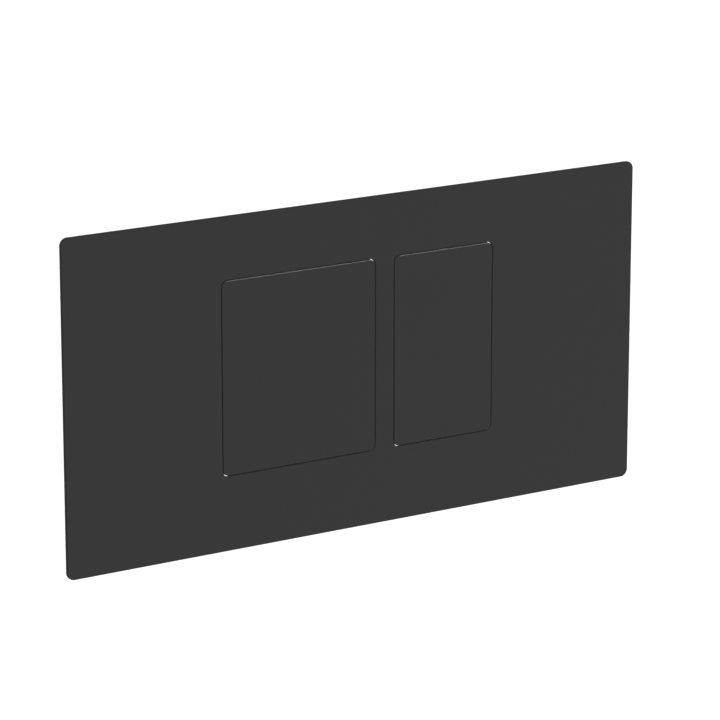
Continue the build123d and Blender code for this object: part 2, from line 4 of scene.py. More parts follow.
import bmesh
import bpy
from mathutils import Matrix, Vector


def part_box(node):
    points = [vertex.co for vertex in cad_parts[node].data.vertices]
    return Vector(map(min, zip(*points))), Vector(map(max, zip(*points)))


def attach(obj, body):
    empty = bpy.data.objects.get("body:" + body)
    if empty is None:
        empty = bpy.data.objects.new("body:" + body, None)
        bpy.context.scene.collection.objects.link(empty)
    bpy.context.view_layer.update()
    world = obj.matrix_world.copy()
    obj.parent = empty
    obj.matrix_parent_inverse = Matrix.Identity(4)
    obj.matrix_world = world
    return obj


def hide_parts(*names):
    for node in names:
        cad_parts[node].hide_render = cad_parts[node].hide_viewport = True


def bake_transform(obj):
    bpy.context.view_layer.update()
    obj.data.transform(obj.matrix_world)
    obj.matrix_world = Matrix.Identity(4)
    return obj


# Flush button plate: the coated sheet, its two buttons and the mechanism behind them.
# Metres, in the part's own frame: x right and z up as seen from the room, y into the wall.

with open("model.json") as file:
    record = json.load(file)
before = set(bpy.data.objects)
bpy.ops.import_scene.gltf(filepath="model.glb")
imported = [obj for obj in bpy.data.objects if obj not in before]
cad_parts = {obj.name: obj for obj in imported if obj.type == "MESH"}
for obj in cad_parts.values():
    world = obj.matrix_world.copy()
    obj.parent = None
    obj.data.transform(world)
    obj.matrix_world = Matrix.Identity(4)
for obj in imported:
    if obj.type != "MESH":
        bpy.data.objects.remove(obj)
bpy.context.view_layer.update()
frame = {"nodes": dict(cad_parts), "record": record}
record = frame["record"]
BODY_OF = {node: body for body, nodes in record["behaviour"]["bodies"].items() for node in nodes}
SLOT_OF = {part["node"]: part["material_slot"] for part in record["subparts"]}
KEYS = ("full", "half")
SIDES = ("left", "right")

# Roundness of the meshes, and how closely places and directions are told apart
ROUND = 64
CORNER_STEPS = 10
EDGE_STEPS = 3
FINE_STEPS = 2
SMOOTH_ANGLE = math.radians(35)
FLAT_ANGLE = math.radians(1)
MERGE = 1e-6
SAME = 1e-5
WALL_TILT = 0.5
STRAIGHT_ON = 0.999

# Plain geometry, and how far a cutter reaches past what it cuts
QUARTER = math.radians(90)
HEX = 6
HEX_INSIDE = math.cos(math.radians(30))
CUT_PAST = 0.004

# Coated sheet and button caps
SHEET_T = 0.0012
SHEET_CORNER_R = 0.0033
SHEET_EDGE_R = 0.0003
OPENING_EDGE_R = 0.00015
KEY_GAP = 0.0003
CAP_T = 0.0008
CAP_CORNER_R = 0.0026
CAP_EDGE_R = 0.00038
CAP_EDGE_STEPS = 4
CAP_LIP_R = 0.00015
EDGE_TILT = (0.05, 0.98)
EDGE_ROUGHNESS = 0.27
RIM_ROUGHNESS = 0.95
RIM_REACH = 0.0015
# Lighter grey painted on the cut-out walls inside the gaps round the buttons: painted light that stands in
# for light on those shaded walls
GAP_WALL_PAINTED_LIGHT = (0.1, 0.1, 0.1, 1)

# Studs, nuts and rods
THREAD_DEPTH = 0.5
THREAD_OPEN = 0.42
THREAD_PAST = 0.1
THREAD_STEPS = 28
THREAD_CLEAR = 0.0001
WELD_STUD_D = 0.003
WELD_STUD_PITCH = 0.0005
WELD_STUD_LEAD = 2 * WELD_STUD_PITCH
WELD_STUD_CHAMFER = 0.0004
PLATE_NUT_FLATS = 0.0055
NUT_CONE = 0.0004
NUT_CONE_ANGLE = math.radians(30)
ROD_D = 0.006
ROD_PITCH = 0.0015
ROD_HEAD_T = 0.0028
ROD_HEAD_CHAMFER = 0.0008
ROD_END_CHAMFER = 0.0007
ROD_THREAD_LEAD = 0.006
LOCK_NUT_CONE = 0.0008
EXTENSION_END_T = 0.004
EXTENSION_CHAMFER = 0.0012
EXTENSION_EDGE_R = 0.0003
STUD_D = 0.008
STUD_PITCH = 0.0025
STUD_COLLAR_FLATS = 0.014
STUD_COLLAR_T = 0.003
STUD_REACH = 0.036
STUD_END_CHAMFER = 0.0009
DRIVE_SLOT_W = 0.0016
DRIVE_SLOT_DEPTH = 0.002
THUMB_NUT_D = 0.018
THUMB_NUT_NOTCHES = 12
THUMB_NOTCH_R = 0.0012
THUMB_NOTCH_SIDES = 20
THUMB_NUT_EDGE_R = 0.0005
PIN_END_R = 0.0004

# Return springs, pads, seal and mouldings
LEAF_T = 0.0005
LEAF_BEND_R = 0.003
LEAF_BEND_STEPS = 6
LEAF_FLAT_L = 0.0137
LEAF_TOUCH_Y = 0.0082
LEAF_TOUCH_UP = 0.005
LEAF_TIP_OUT = 0.003
LEAF_TIP_R = 0.0015
LEAF_TIP_STEPS = 5
LEAF_EDGE_R = 0.0001
LEAF_CUTS = 14
LEAF_LONG_EDGE = 2 * LEAF_TOUCH_UP
PAD_W = 0.009
PAD_INSET = 0.012
PAD_TAPER = math.radians(12)
PAD_EDGE_R = 0.0004
SEAL_W = 0.006
SEAL_CORNER_R = 0.0033
SEAL_EDGE_R = 0.0002
MOULD_EDGE_R = 0.0002

# Moulded details, each a box between two corners: slots that leave the gaps round the buttons open to
# view at two corners, and ledges that close the gaps' sides from behind
CHASSIS_SLOTS = (
    ((-0.0628, 0.0014, -0.0413), (-0.0555, 0.0104, -0.0390)),
    ((0.0194, 0.0014, -0.0413), (0.0267, 0.0104, -0.0390)),
    ((0.0078, 0.0006, 0.0407), (0.0108, 0.0072, 0.0428)),
    ((0.0134, 0.0088, 0.0379), (0.0170, 0.0156, 0.0402)),
    ((0.0658, 0.0006, 0.0409), (0.0688, 0.0072, 0.0428)),
)
CHASSIS_LEDGES = (
    ((-0.0670, 0.0172, -0.0276), (-0.0635, 0.0188, 0.0330)),
    ((0.0055, 0.0172, -0.0276), (0.0090, 0.0188, 0.0330)),
    ((0.0152, 0.0172, -0.0276), (0.0187, 0.0188, 0.0330)),
    ((0.0635, 0.0172, -0.0276), (0.0670, 0.0188, 0.0330)),
)
FRAME_SLOTS = (
    ((-0.0530, 0.0195, -0.0470), (-0.0480, 0.0262, -0.0440)),
    ((0.0308, 0.0195, -0.0470), (0.0358, 0.0262, -0.0440)),
    ((0.0772, 0.0195, 0.0354), (0.0816, 0.0235, 0.0378)),
    ((-0.0816, 0.0195, 0.0354), (-0.0772, 0.0235, 0.0378)),
)

# Surface noise, and the sockets that a mix node uses for colours
NOISE_MIDDLE = (0.3, 0.7)
GRAIN_DETAIL = 4
CLOUD_DETAIL = 3
PATCHES_PER_CLOUD = 2
MIX_A, MIX_B, MIX_RESULT = 6, 7, 2

# Camera, solved from the plate's corners in the photograph
CAMERA_AZIMUTH = math.radians(-32.187)
CAMERA_ELEVATION = math.radians(14.996)
CAMERA_DISTANCE = 1.54477
CAMERA_TARGET = Vector((-0.0000065, -0.002, 0.001721))
CAMERA_LENS = 187.544
CAMERA_SENSOR = 36.0

# Studio
WHITE = (1, 1, 1, 1)
FLOOR_Z = -0.6
FLOOR_SIZE = 14.0
FLOOR_COLOUR = (0.8, 0.8, 0.8, 1)
FLOOR_GLOW = 0.2
SKY_DIFFUSE = 0.46
TOP_LAMP_FROM = Vector((0.51, -0.4, 0.76))
TOP_LAMP_STRENGTH = 2.4
TOP_LAMP_ANGLE = math.radians(10)
BACK_LAMP_FROM = Vector((-0.45, 0.8, 0.4))
BACK_LAMP_STRENGTH = 1.0
BACK_LAMP_ANGLE = math.radians(60)


# Modelling as by hand: primitives, selections and operators

def activate(obj):
    """Select this object alone and make it the active one."""
    bpy.ops.object.select_all(action="DESELECT")
    obj.select_set(True)
    bpy.context.view_layer.objects.active = obj


def placed(name):
    """Name the object just added, and put its place, turn and size into its mesh."""
    obj = bpy.context.object
    obj.name = name
    obj.data.name = name
    bpy.ops.object.transform_apply(location=True, rotation=True, scale=True)
    return obj


def block(name, low, high):
    """Box between two corners."""
    bpy.ops.mesh.primitive_cube_add(size=1, location=(low + high) / 2, scale=high - low)
    return placed(name)


def bar(name, radius, front, back, spot, sides=ROUND):
    """Round or many-sided bar along y between two depths, at a spot (x, z), with a corner along x."""
    bpy.ops.mesh.primitive_cylinder_add(
        vertices=sides, radius=radius, depth=back - front,
        location=(spot[0], (front + back) / 2, spot[1]), rotation=(QUARTER, QUARTER, 0),
    )
    return placed(name)


def pick(obj, kind, test):
    """Open the object for editing with only the vertices, edges or faces that pass the test selected."""
    activate(obj)
    bpy.ops.object.mode_set(mode="EDIT")
    bpy.ops.mesh.select_mode(type=kind)
    bpy.ops.mesh.select_all(action="DESELECT")
    mesh = bmesh.from_edit_mesh(obj.data)
    for item in {"VERT": mesh.verts, "EDGE": mesh.edges, "FACE": mesh.faces}[kind]:
        if test(item):
            item.select_set(True)
    bmesh.update_edit_mesh(obj.data)


def close_edit():
    """Leave edit mode."""
    bpy.ops.object.mode_set(mode="OBJECT")


def near(a, b):
    """Whether two lengths agree to a hundredth of a millimetre."""
    return abs(a - b) < SAME


def along(axis):
    """Test for an edge that runs straight along this axis, 0 to 2."""
    others = [other for other in range(3) if other != axis]
    return lambda edge: all(near(edge.verts[0].co[i], edge.verts[1].co[i]) for i in others)


def at(axis, place):
    """Test for an edge that lies at this place along an axis."""
    return lambda edge: all(near(corner.co[axis], place) for corner in edge.verts)


def rim(y):
    """Test for an edge at this depth between a flat face and a side wall."""
    lies = at(1, y)
    return lambda edge: lies(edge) and any(abs(face.normal.y) < WALL_TILT for face in edge.link_faces)


def facing(direction):
    """Test for a face that looks this way."""
    return lambda face: face.normal.dot(Vector(direction)) > STRAIGHT_ON


def round_edges(obj, test, radius, steps=EDGE_STEPS):
    """Round the edges that pass the test."""
    pick(obj, "EDGE", test)
    bpy.ops.mesh.bevel(offset=radius, segments=steps, affect="EDGES")
    close_edit()


def chamfer_edges(obj, test, width):
    """Chamfer the edges that pass the test."""
    round_edges(obj, test, width, steps=1)


def apply_modifier(obj, kind, **settings):
    """Add a modifier with these settings and apply it."""
    modifier = obj.modifiers.new(kind.lower(), kind)
    for setting, value in settings.items():
        setattr(modifier, setting, value)
    activate(obj)
    bpy.ops.object.modifier_apply(modifier=modifier.name)


def combine(obj, other, operation):
    """Unite, cut or intersect with another solid, which is used up."""
    apply_modifier(obj, "BOOLEAN", object=other, operation=operation, solver="EXACT")
    bpy.data.objects.remove(other)


def copied(obj, name, shift):
    """Copy with its own mesh, moved by this much."""
    activate(obj)
    bpy.ops.object.duplicate()
    bpy.context.object.location = shift
    return placed(name)


def tidy(obj):
    """Merge doubles, turn the faces outwards and smooth what is round."""
    activate(obj)
    bpy.ops.object.mode_set(mode="EDIT")
    bpy.ops.mesh.select_all(action="SELECT")
    bpy.ops.mesh.remove_doubles(threshold=MERGE)
    bpy.ops.mesh.normals_make_consistent(inside=False)
    close_edit()
    bpy.ops.object.shade_smooth_by_angle(angle=SMOOTH_ANGLE)


def rounded(face):
    """Whether a face belongs to a rounded front edge."""
    return EDGE_TILT[0] < -face.normal.y < EDGE_TILT[1]


def mark_faces(obj, name, tests):
    """Give the faces that pass a test its value in a face attribute, and the others 0."""
    mark = obj.data.attributes.new(name, "FLOAT", "FACE")
    for face in obj.data.polygons:
        for test, value in tests:
            if test(face):
                mark.data[face.index].value = value


def dress(obj, node, slot=None):
    """Give a piece its finish, and let it stand for its node."""
    slot = slot or SLOT_OF[node]
    obj.data.materials.clear()
    obj.data.materials.append(FINISHES[slot])
    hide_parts(node)


def fit(obj, node, slot=None):
    """Finish a rigid piece: clean mesh, flat faces kept flat, finish, body."""
    tidy(obj)
    apply_modifier(obj, "WEIGHTED_NORMAL", keep_sharp=True)
    dress(obj, node, slot)
    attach(obj, BODY_OF[node])


def middle(node):
    """Spot (x, z) of a node's middle, seen from the front."""
    low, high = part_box(node)
    return (low.x + high.x) / 2, (low.z + high.z) / 2


def groove(pitch, radius, front, back, spot):
    """Cutter for a screw thread along y: a three-cornered outline wound round the bar."""
    depth = THREAD_DEPTH * pitch
    past = THREAD_PAST * pitch
    half_width = THREAD_OPEN * pitch * (depth + past) / depth
    corners = ((radius - depth, 0, 0), (radius + past, 0, half_width), (radius + past, 0, -half_width))
    bpy.ops.mesh.primitive_circle_add(vertices=3)
    cutter = placed("groove")
    for vertex, corner in zip(cutter.data.vertices, corners):
        vertex.co = corner
    apply_modifier(
        cutter, "SCREW", axis="Z", angle=math.tau, screw_offset=pitch,
        iterations=math.ceil((back - front) / pitch), steps=THREAD_STEPS, render_steps=THREAD_STEPS,
    )
    cutter.rotation_euler.x = -QUARTER
    cutter.location = (spot[0], front, spot[1])
    cutter = placed("groove")
    bpy.ops.object.mode_set(mode="EDIT")
    bpy.ops.mesh.select_all(action="SELECT")
    bpy.ops.mesh.fill_holes(sides=3)
    # The wound faces are twisted, and flat ones cut cleanly
    bpy.ops.mesh.quads_convert_to_tris()
    bpy.ops.mesh.normals_make_consistent(inside=False)
    close_edit()
    return cutter


def hex_radius(flats):
    """Radius of a hexagon's corners, from its width across flats."""
    return flats / 2 / HEX_INSIDE


def hex_nut(name, flats, front, back, spot, cone):
    """Six-sided nut whose corners are turned to a shallow cone at both ends."""
    corner_r = hex_radius(flats)
    nut = bar(name, corner_r, front, back, spot, sides=HEX)
    turned = bar("turned", corner_r, front + cone, back - cone, spot)
    end_share = 1 - cone / math.tan(NUT_CONE_ANGLE) / corner_r
    for end, way in ((front + cone, -1), (back - cone, 1)):
        pick(turned, "FACE", facing((0, way, 0)))
        bpy.ops.mesh.extrude_region_move(TRANSFORM_OT_translate={"value": (0, way * cone, 0)})
        bpy.ops.transform.resize(value=(end_share, 1, end_share), center_override=(spot[0], end, spot[1]))
        close_edit()
    combine(nut, turned, "INTERSECT")
    return nut


def drill(obj, radius, front, back, spot, sides=ROUND):
    """Round or many-sided hole along y, right through between two depths."""
    combine(obj, bar("drill", radius, front - CUT_PAST, back + CUT_PAST, spot, sides), "DIFFERENCE")


# Finishes: shared surface effects as groups, then one material for each slot

def new_group(name, inputs, outputs):
    """Empty shader group with these sockets, and its input and output nodes."""
    tree = bpy.data.node_groups.new(name, "ShaderNodeTree")
    for label, kind in inputs:
        tree.interface.new_socket(name=label, in_out="INPUT", socket_type=kind)
    for label, kind in outputs:
        tree.interface.new_socket(name=label, in_out="OUTPUT", socket_type=kind)
    return tree, tree.nodes.new("NodeGroupInput"), tree.nodes.new("NodeGroupOutput")


def noise(tree, vector, scale, detail):
    """Noise texture read at a vector, with its scale taken from a socket."""
    texture = tree.nodes.new("ShaderNodeTexNoise")
    texture.inputs["Detail"].default_value = detail
    tree.links.new(vector, texture.inputs["Vector"])
    tree.links.new(scale, texture.inputs["Scale"])
    return texture.outputs["Fac"]


def spread(tree, value, low, high):
    """A value from the middle of a noise, spread between two sockets."""
    remap = tree.nodes.new("ShaderNodeMapRange")
    remap.inputs["From Min"].default_value = NOISE_MIDDLE[0]
    remap.inputs["From Max"].default_value = NOISE_MIDDLE[1]
    tree.links.new(value, remap.inputs["Value"])
    tree.links.new(low, remap.inputs["To Min"])
    tree.links.new(high, remap.inputs["To Max"])
    return remap.outputs["Result"]


def mix_colours(tree, factor, first):
    """Colour mix node with its factor and its first colour linked."""
    mix = tree.nodes.new("ShaderNodeMix")
    mix.data_type = "RGBA"
    tree.links.new(factor, mix.inputs["Factor"])
    tree.links.new(first, mix.inputs[MIX_A])
    return mix


def face_value(tree, name):
    """Socket with the value of a face attribute."""
    attribute = tree.nodes.new("ShaderNodeAttribute")
    attribute.attribute_name = name
    return attribute.outputs["Fac"]


def make_grain_group():
    """Fine grain of a coat or a mould: a height for bump, and patches of roughness."""
    tree, given, made = new_group(
        "surface_grain",
        (("Vector", "NodeSocketVector"), ("Grain Scale", "NodeSocketFloat"),
         ("Patch Scale", "NodeSocketFloat"), ("Least Roughness", "NodeSocketFloat"),
         ("Most Roughness", "NodeSocketFloat")),
        (("Height", "NodeSocketFloat"), ("Roughness", "NodeSocketFloat")),
    )
    place = given.outputs["Vector"]
    height = noise(tree, place, given.outputs["Grain Scale"], GRAIN_DETAIL)
    patches = noise(tree, place, given.outputs["Patch Scale"], CLOUD_DETAIL)
    rough = spread(tree, patches, given.outputs["Least Roughness"], given.outputs["Most Roughness"])
    tree.links.new(height, made.inputs["Height"])
    tree.links.new(rough, made.inputs["Roughness"])
    return tree


def make_tone_group():
    """Slow change of tone between two near colours."""
    tree, given, made = new_group(
        "cloudy_tone",
        (("Vector", "NodeSocketVector"), ("Scale", "NodeSocketFloat"),
         ("Dark", "NodeSocketColor"), ("Light", "NodeSocketColor")),
        (("Color", "NodeSocketColor"),),
    )
    clouds = noise(tree, given.outputs["Vector"], given.outputs["Scale"], CLOUD_DETAIL)
    mix = mix_colours(tree, clouds, given.outputs["Dark"])
    tree.links.new(given.outputs["Light"], mix.inputs[MIX_B])
    tree.links.new(mix.outputs[MIX_RESULT], made.inputs["Color"])
    return tree


GRAIN = make_grain_group()
TONE = make_tone_group()


def make_finish(
    name, dark, light, tone_scale, grain_scale, roughness, bump,
    stretch=(1, 1, 1), specular=0.5, metallic=0.0,
):
    """Material with a cloudy tone and a fine grain. Roughness is (least, most), bump (strength, depth)."""
    material = bpy.data.materials.new(name)
    material.use_nodes = True
    tree = material.node_tree
    shader = tree.nodes["Principled BSDF"]
    shader.inputs["Specular IOR Level"].default_value = specular
    shader.inputs["Metallic"].default_value = metallic
    place = tree.nodes.new("ShaderNodeTexCoord")
    mapping = tree.nodes.new("ShaderNodeMapping")
    mapping.inputs["Scale"].default_value = stretch
    tree.links.new(place.outputs["Object"], mapping.inputs["Vector"])

    tone = tree.nodes.new("ShaderNodeGroup")
    tone.node_tree = TONE
    tone.inputs["Scale"].default_value = tone_scale
    tone.inputs["Dark"].default_value = (*dark, 1)
    tone.inputs["Light"].default_value = (*light, 1)
    tree.links.new(mapping.outputs["Vector"], tone.inputs["Vector"])
    tree.links.new(tone.outputs["Color"], shader.inputs["Base Color"])

    grain = tree.nodes.new("ShaderNodeGroup")
    grain.node_tree = GRAIN
    grain.inputs["Grain Scale"].default_value = grain_scale
    grain.inputs["Patch Scale"].default_value = tone_scale * PATCHES_PER_CLOUD
    grain.inputs["Least Roughness"].default_value = roughness[0]
    grain.inputs["Most Roughness"].default_value = roughness[1]
    tree.links.new(mapping.outputs["Vector"], grain.inputs["Vector"])
    tree.links.new(grain.outputs["Roughness"], shader.inputs["Roughness"])

    relief = tree.nodes.new("ShaderNodeBump")
    relief.inputs["Strength"].default_value = bump[0]
    relief.inputs["Distance"].default_value = bump[1]
    tree.links.new(grain.outputs["Height"], relief.inputs["Height"])
    tree.links.new(relief.outputs["Normal"], shader.inputs["Normal"])
    return material


def make_powder_coat():
    """Matt black powder coat with a faint orange peel, smoother or duller where a face is marked, and
    painted light on marked cut-out walls: a lighter grey that brightens the shaded gaps.
    """
    material = make_finish(
        "powder_coat", (0.019,) * 3, (0.02,) * 3, tone_scale=60, grain_scale=1400,
        roughness=(0.59, 0.61), bump=(0.12, 0.00004), specular=0.25,
    )
    tree = material.node_tree
    shader = tree.nodes["Principled BSDF"]
    plain_roughness = shader.inputs["Roughness"].links[0].from_socket
    plain_colour = shader.inputs["Base Color"].links[0].from_socket

    edge = face_value(tree, "edge_roughness")
    marked = tree.nodes.new("ShaderNodeMath")
    marked.operation = "GREATER_THAN"
    marked.inputs[1].default_value = 0
    blend = tree.nodes.new("ShaderNodeMix")
    tree.links.new(edge, marked.inputs[0])
    tree.links.new(marked.outputs["Value"], blend.inputs["Factor"])
    tree.links.new(plain_roughness, blend.inputs["A"])
    tree.links.new(edge, blend.inputs["B"])
    tree.links.new(blend.outputs["Result"], shader.inputs["Roughness"])

    # Marked faces get a lighter grey instead of the coat's colour: painted light on the shaded cut-out
    # walls in the gaps
    colour = mix_colours(tree, face_value(tree, "thin_coat"), plain_colour)
    colour.inputs[MIX_B].default_value = GAP_WALL_PAINTED_LIGHT
    tree.links.new(colour.outputs[MIX_RESULT], shader.inputs["Base Color"])
    return material


FINISHES = {
    "coated_steel": make_powder_coat(),
    # Black engineering plastic with a spark-eroded texture
    "black_moulding": make_finish(
        "black_plastic", (0.012, 0.012, 0.013), (0.018, 0.018, 0.019), tone_scale=90, grain_scale=2600,
        roughness=(0.42, 0.56), bump=(0.3, 0.00006), specular=0.45,
    ),
    # Grey recycled plastic, satin from the mould
    "grey_moulding": make_finish(
        "grey_plastic", (0.27, 0.28, 0.29), (0.33, 0.34, 0.35), tone_scale=45, grain_scale=1800,
        roughness=(0.4, 0.55), bump=(0.22, 0.00006),
    ),
    # Natural acetal, waxy and slightly warm
    "white_acetal": make_finish(
        "natural_acetal", (0.68, 0.67, 0.63), (0.76, 0.75, 0.71), tone_scale=120, grain_scale=1500,
        roughness=(0.32, 0.44), bump=(0.08, 0.00004),
    ),
    # Rolled spring steel with fine lines along the strip
    "spring_steel": make_finish(
        "rolled_steel", (0.34, 0.34, 0.33), (0.46, 0.46, 0.44), tone_scale=160, grain_scale=2400,
        roughness=(0.28, 0.4), bump=(0.1, 0.00003), stretch=(1, 1, 0.06), metallic=1.0,
    ),
    # Bright zinc plate with cloudy passivation
    "zinc_steel": make_finish(
        "zinc_plate", (0.5, 0.53, 0.58), (0.7, 0.7, 0.66), tone_scale=420, grain_scale=3200,
        roughness=(0.26, 0.42), bump=(0.12, 0.00003), metallic=1.0,
    ),
    # Closed-cell foam, dull and pitted
    "foam": make_finish(
        "cellular_foam", (0.022, 0.022, 0.024), (0.04, 0.04, 0.043), tone_scale=300, grain_scale=2200,
        roughness=(0.85, 0.97), bump=(0.8, 0.00015),
    ),
    # Moulded black rubber
    "rubber_pad": make_finish(
        "black_rubber", (0.018, 0.018, 0.018), (0.03, 0.03, 0.03), tone_scale=220, grain_scale=1900,
        roughness=(0.68, 0.82), bump=(0.25, 0.00006),
    ),
}


# Pieces, from the room inwards

def make_coated_sheet():
    """Flat sheet with rounded corners, softened edges and a cut-out round each button."""
    low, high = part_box("face_plate")
    sheet = block("coated_sheet", low, Vector((high.x, low.y + SHEET_T, high.z)))
    round_edges(sheet, along(1), SHEET_CORNER_R, CORNER_STEPS)
    round_edges(sheet, rim(low.y), SHEET_EDGE_R)
    for key in KEYS:
        cap_low, cap_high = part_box(f"{key}_button_cap")
        margin = Vector((KEY_GAP, CUT_PAST, KEY_GAP))
        opening = block("opening", cap_low - margin, cap_high + margin)
        round_edges(opening, along(1), CAP_CORNER_R + KEY_GAP, CORNER_STEPS)
        combine(sheet, opening, "DIFFERENCE")
    round_edges(sheet, rim(low.y), OPENING_EDGE_R, FINE_STEPS)

    def is_outer(face):
        """Whether a face lies by the sheet's outer edge."""
        return abs(face.center.x) > high.x - RIM_REACH or abs(face.center.z) > high.z - RIM_REACH

    def on_rim(face):
        """Whether a face is on the wall or the rounding of the outer edge."""
        return is_outer(face) and abs(face.normal.y) < EDGE_TILT[1]

    def on_cut(face):
        """Whether a face is on the wall of a cut-out."""
        return not is_outer(face) and abs(face.normal.y) < EDGE_TILT[0]

    mark_faces(sheet, "edge_roughness", ((rounded, EDGE_ROUGHNESS), (on_rim, RIM_ROUGHNESS)))
    # The cut-out walls are marked for a lighter grey: painted light that brightens the shaded gaps round
    # the buttons
    mark_faces(sheet, "thin_coat", ((on_cut, 1.0),))
    fit(sheet, "face_plate")


def make_weld_studs():
    """Threaded studs welded to the sheet's back, and the nuts on them."""
    plate_low, plate_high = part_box("face_plate")
    nut_low, nut_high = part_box("plate_nuts")
    weld_y = plate_low.y + SHEET_T
    corner_r = hex_radius(PLATE_NUT_FLATS)
    first = nut_low.x + corner_r, nut_low.z + PLATE_NUT_FLATS / 2
    apart = nut_high.x - nut_low.x - 2 * corner_r, nut_high.z - nut_low.z - PLATE_NUT_FLATS
    shifts = [Vector((i * apart[0], 0, j * apart[1])) for i in (0, 1) for j in (0, 1)]

    stud = bar("weld_stud_1", WELD_STUD_D / 2, weld_y, plate_high.y, first)
    chamfer_edges(stud, at(1, plate_high.y), WELD_STUD_CHAMFER)
    thread_from = weld_y + WELD_STUD_LEAD
    cutter = groove(WELD_STUD_PITCH, WELD_STUD_D / 2, thread_from, plate_high.y + WELD_STUD_PITCH, first)
    combine(stud, cutter, "DIFFERENCE")
    nut = hex_nut("plate_nut_1", PLATE_NUT_FLATS, nut_low.y, nut_high.y, first, NUT_CONE)
    drill(nut, WELD_STUD_D / 2 + THREAD_CLEAR, nut_low.y, nut_high.y, first)
    for i, shift in enumerate(shifts[1:], 2):
        fit(copied(stud, f"weld_stud_{i}", shift), "face_plate", "zinc_steel")
        fit(copied(nut, f"plate_nut_{i}", shift), "plate_nuts")
    fit(stud, "face_plate", "zinc_steel")
    fit(nut, "plate_nuts")


def make_cap(key):
    """Drawn cap: rounded tray with a soft front edge and an even wall."""
    node = f"{key}_button_cap"
    low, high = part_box(node)
    cap = block(f"{key}_cap_shell", low, high)
    round_edges(cap, along(1), CAP_CORNER_R, CORNER_STEPS)
    round_edges(cap, rim(low.y), CAP_EDGE_R, CAP_EDGE_STEPS)
    wall = Vector((CAP_T, CAP_T, CAP_T))
    hollow = block("hollow", low + wall, high + Vector((-CAP_T, CUT_PAST, -CAP_T)))
    round_edges(hollow, along(1), CAP_CORNER_R - CAP_T, CORNER_STEPS)
    combine(cap, hollow, "DIFFERENCE")
    round_edges(cap, rim(high.y), CAP_LIP_R, FINE_STEPS)
    mark_faces(cap, "edge_roughness", ((rounded, EDGE_ROUGHNESS),))
    fit(cap, node)


def make_seal():
    """Foam ring between the sheet and the wall."""
    low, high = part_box("wall_seal")
    seal = block("foam_ring", low, high)
    round_edges(seal, along(1), SEAL_CORNER_R, CORNER_STEPS)
    width = Vector((SEAL_W, -CUT_PAST, SEAL_W))
    combine(seal, block("inside", low + width, high - width), "DIFFERENCE")
    for y in (low.y, high.y):
        round_edges(seal, rim(y), SEAL_EDGE_R, FINE_STEPS)
    fit(seal, "wall_seal")


def make_moulding(node, name, ledges=(), slots=()):
    """Moulded piece: the node's own form with ledges and slots, its corners lightly rounded."""
    obj = bpy.data.objects.new(name, frame["nodes"][node].data.copy())
    bpy.context.scene.collection.objects.link(obj)
    activate(obj)
    bpy.ops.mesh.customdata_custom_splitnormals_clear()
    bpy.ops.object.mode_set(mode="EDIT")
    bpy.ops.mesh.select_all(action="SELECT")
    bpy.ops.mesh.remove_doubles(threshold=MERGE)
    bpy.ops.mesh.dissolve_limited(angle_limit=FLAT_ANGLE)
    close_edit()
    for boxes, operation in ((ledges, "UNION"), (slots, "DIFFERENCE")):
        for low, high in boxes:
            combine(obj, block("detail", Vector(low), Vector(high)), operation)
    apply_modifier(
        obj, "BEVEL", width=MOULD_EDGE_R, segments=FINE_STEPS,
        limit_method="ANGLE", angle_limit=SMOOTH_ANGLE,
    )
    fit(obj, node)


def make_hinge_pin(key):
    """Ground dowel with rounded ends."""
    node = f"{key}_hinge_pin"
    low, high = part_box(node)
    bpy.ops.mesh.primitive_cylinder_add(
        vertices=ROUND, radius=(high.y - low.y) / 2, depth=high.x - low.x,
        location=(low + high) / 2, rotation=(0, QUARTER, 0),
    )
    pin = placed(f"{key}_dowel")
    for end in (low.x, high.x):
        round_edges(pin, at(0, end), PIN_END_R, FINE_STEPS)
    fit(pin, node)


def make_leaf(key, side):
    """Return spring: a strip extruded edge by edge, bent and thickened."""
    node = f"{key}_leaf_{side}"
    low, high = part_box(node)
    mid_x = (low.x + high.x) / 2
    root_y = high.y - LEAF_T
    bend = Vector((mid_x, root_y, high.z - LEAF_FLAT_L))
    touch = Vector((mid_x, LEAF_TOUCH_Y, low.z + LEAF_TOUCH_UP))
    tip = Vector((mid_x, LEAF_TOUCH_Y + LEAF_TIP_OUT, low.z))
    bpy.ops.mesh.primitive_plane_add(
        size=1, location=(mid_x, root_y, high.z - LEAF_FLAT_L / 2), rotation=(QUARTER, 0, 0),
    )
    bpy.context.object.scale = (high.x - low.x, LEAF_FLAT_L, 1)
    leaf = placed(f"{key}_spring_{side}")
    for start, end in ((bend, touch), (touch, tip)):
        pick(leaf, "EDGE", at(2, start.z))
        bpy.ops.mesh.extrude_region_move(TRANSFORM_OT_translate={"value": end - start})
        close_edit()
    pick(leaf, "VERT", lambda corner: near(corner.co.z, tip.z))
    bpy.ops.mesh.bevel(offset=LEAF_TIP_R, segments=LEAF_TIP_STEPS, affect="VERTICES")
    close_edit()
    root = Vector((mid_x, root_y, high.z))
    for before, corner, after in ((root, bend, touch), (bend, touch, tip)):
        turn = (corner - before).angle(after - corner)
        round_edges(leaf, at(2, corner.z), LEAF_BEND_R * math.tan(turn / 2), LEAF_BEND_STEPS)
    pick(leaf, "EDGE", lambda edge: edge.calc_length() > LEAF_LONG_EDGE and not along(0)(edge))
    bpy.ops.mesh.subdivide(number_cuts=LEAF_CUTS)
    close_edit()
    apply_modifier(leaf, "SOLIDIFY", thickness=LEAF_T, offset=-1)
    apply_modifier(
        leaf, "BEVEL", width=LEAF_EDGE_R, segments=FINE_STEPS,
        limit_method="ANGLE", angle_limit=SMOOTH_ANGLE,
    )
    tidy(leaf)
    dress(leaf, node)
    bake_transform(leaf)


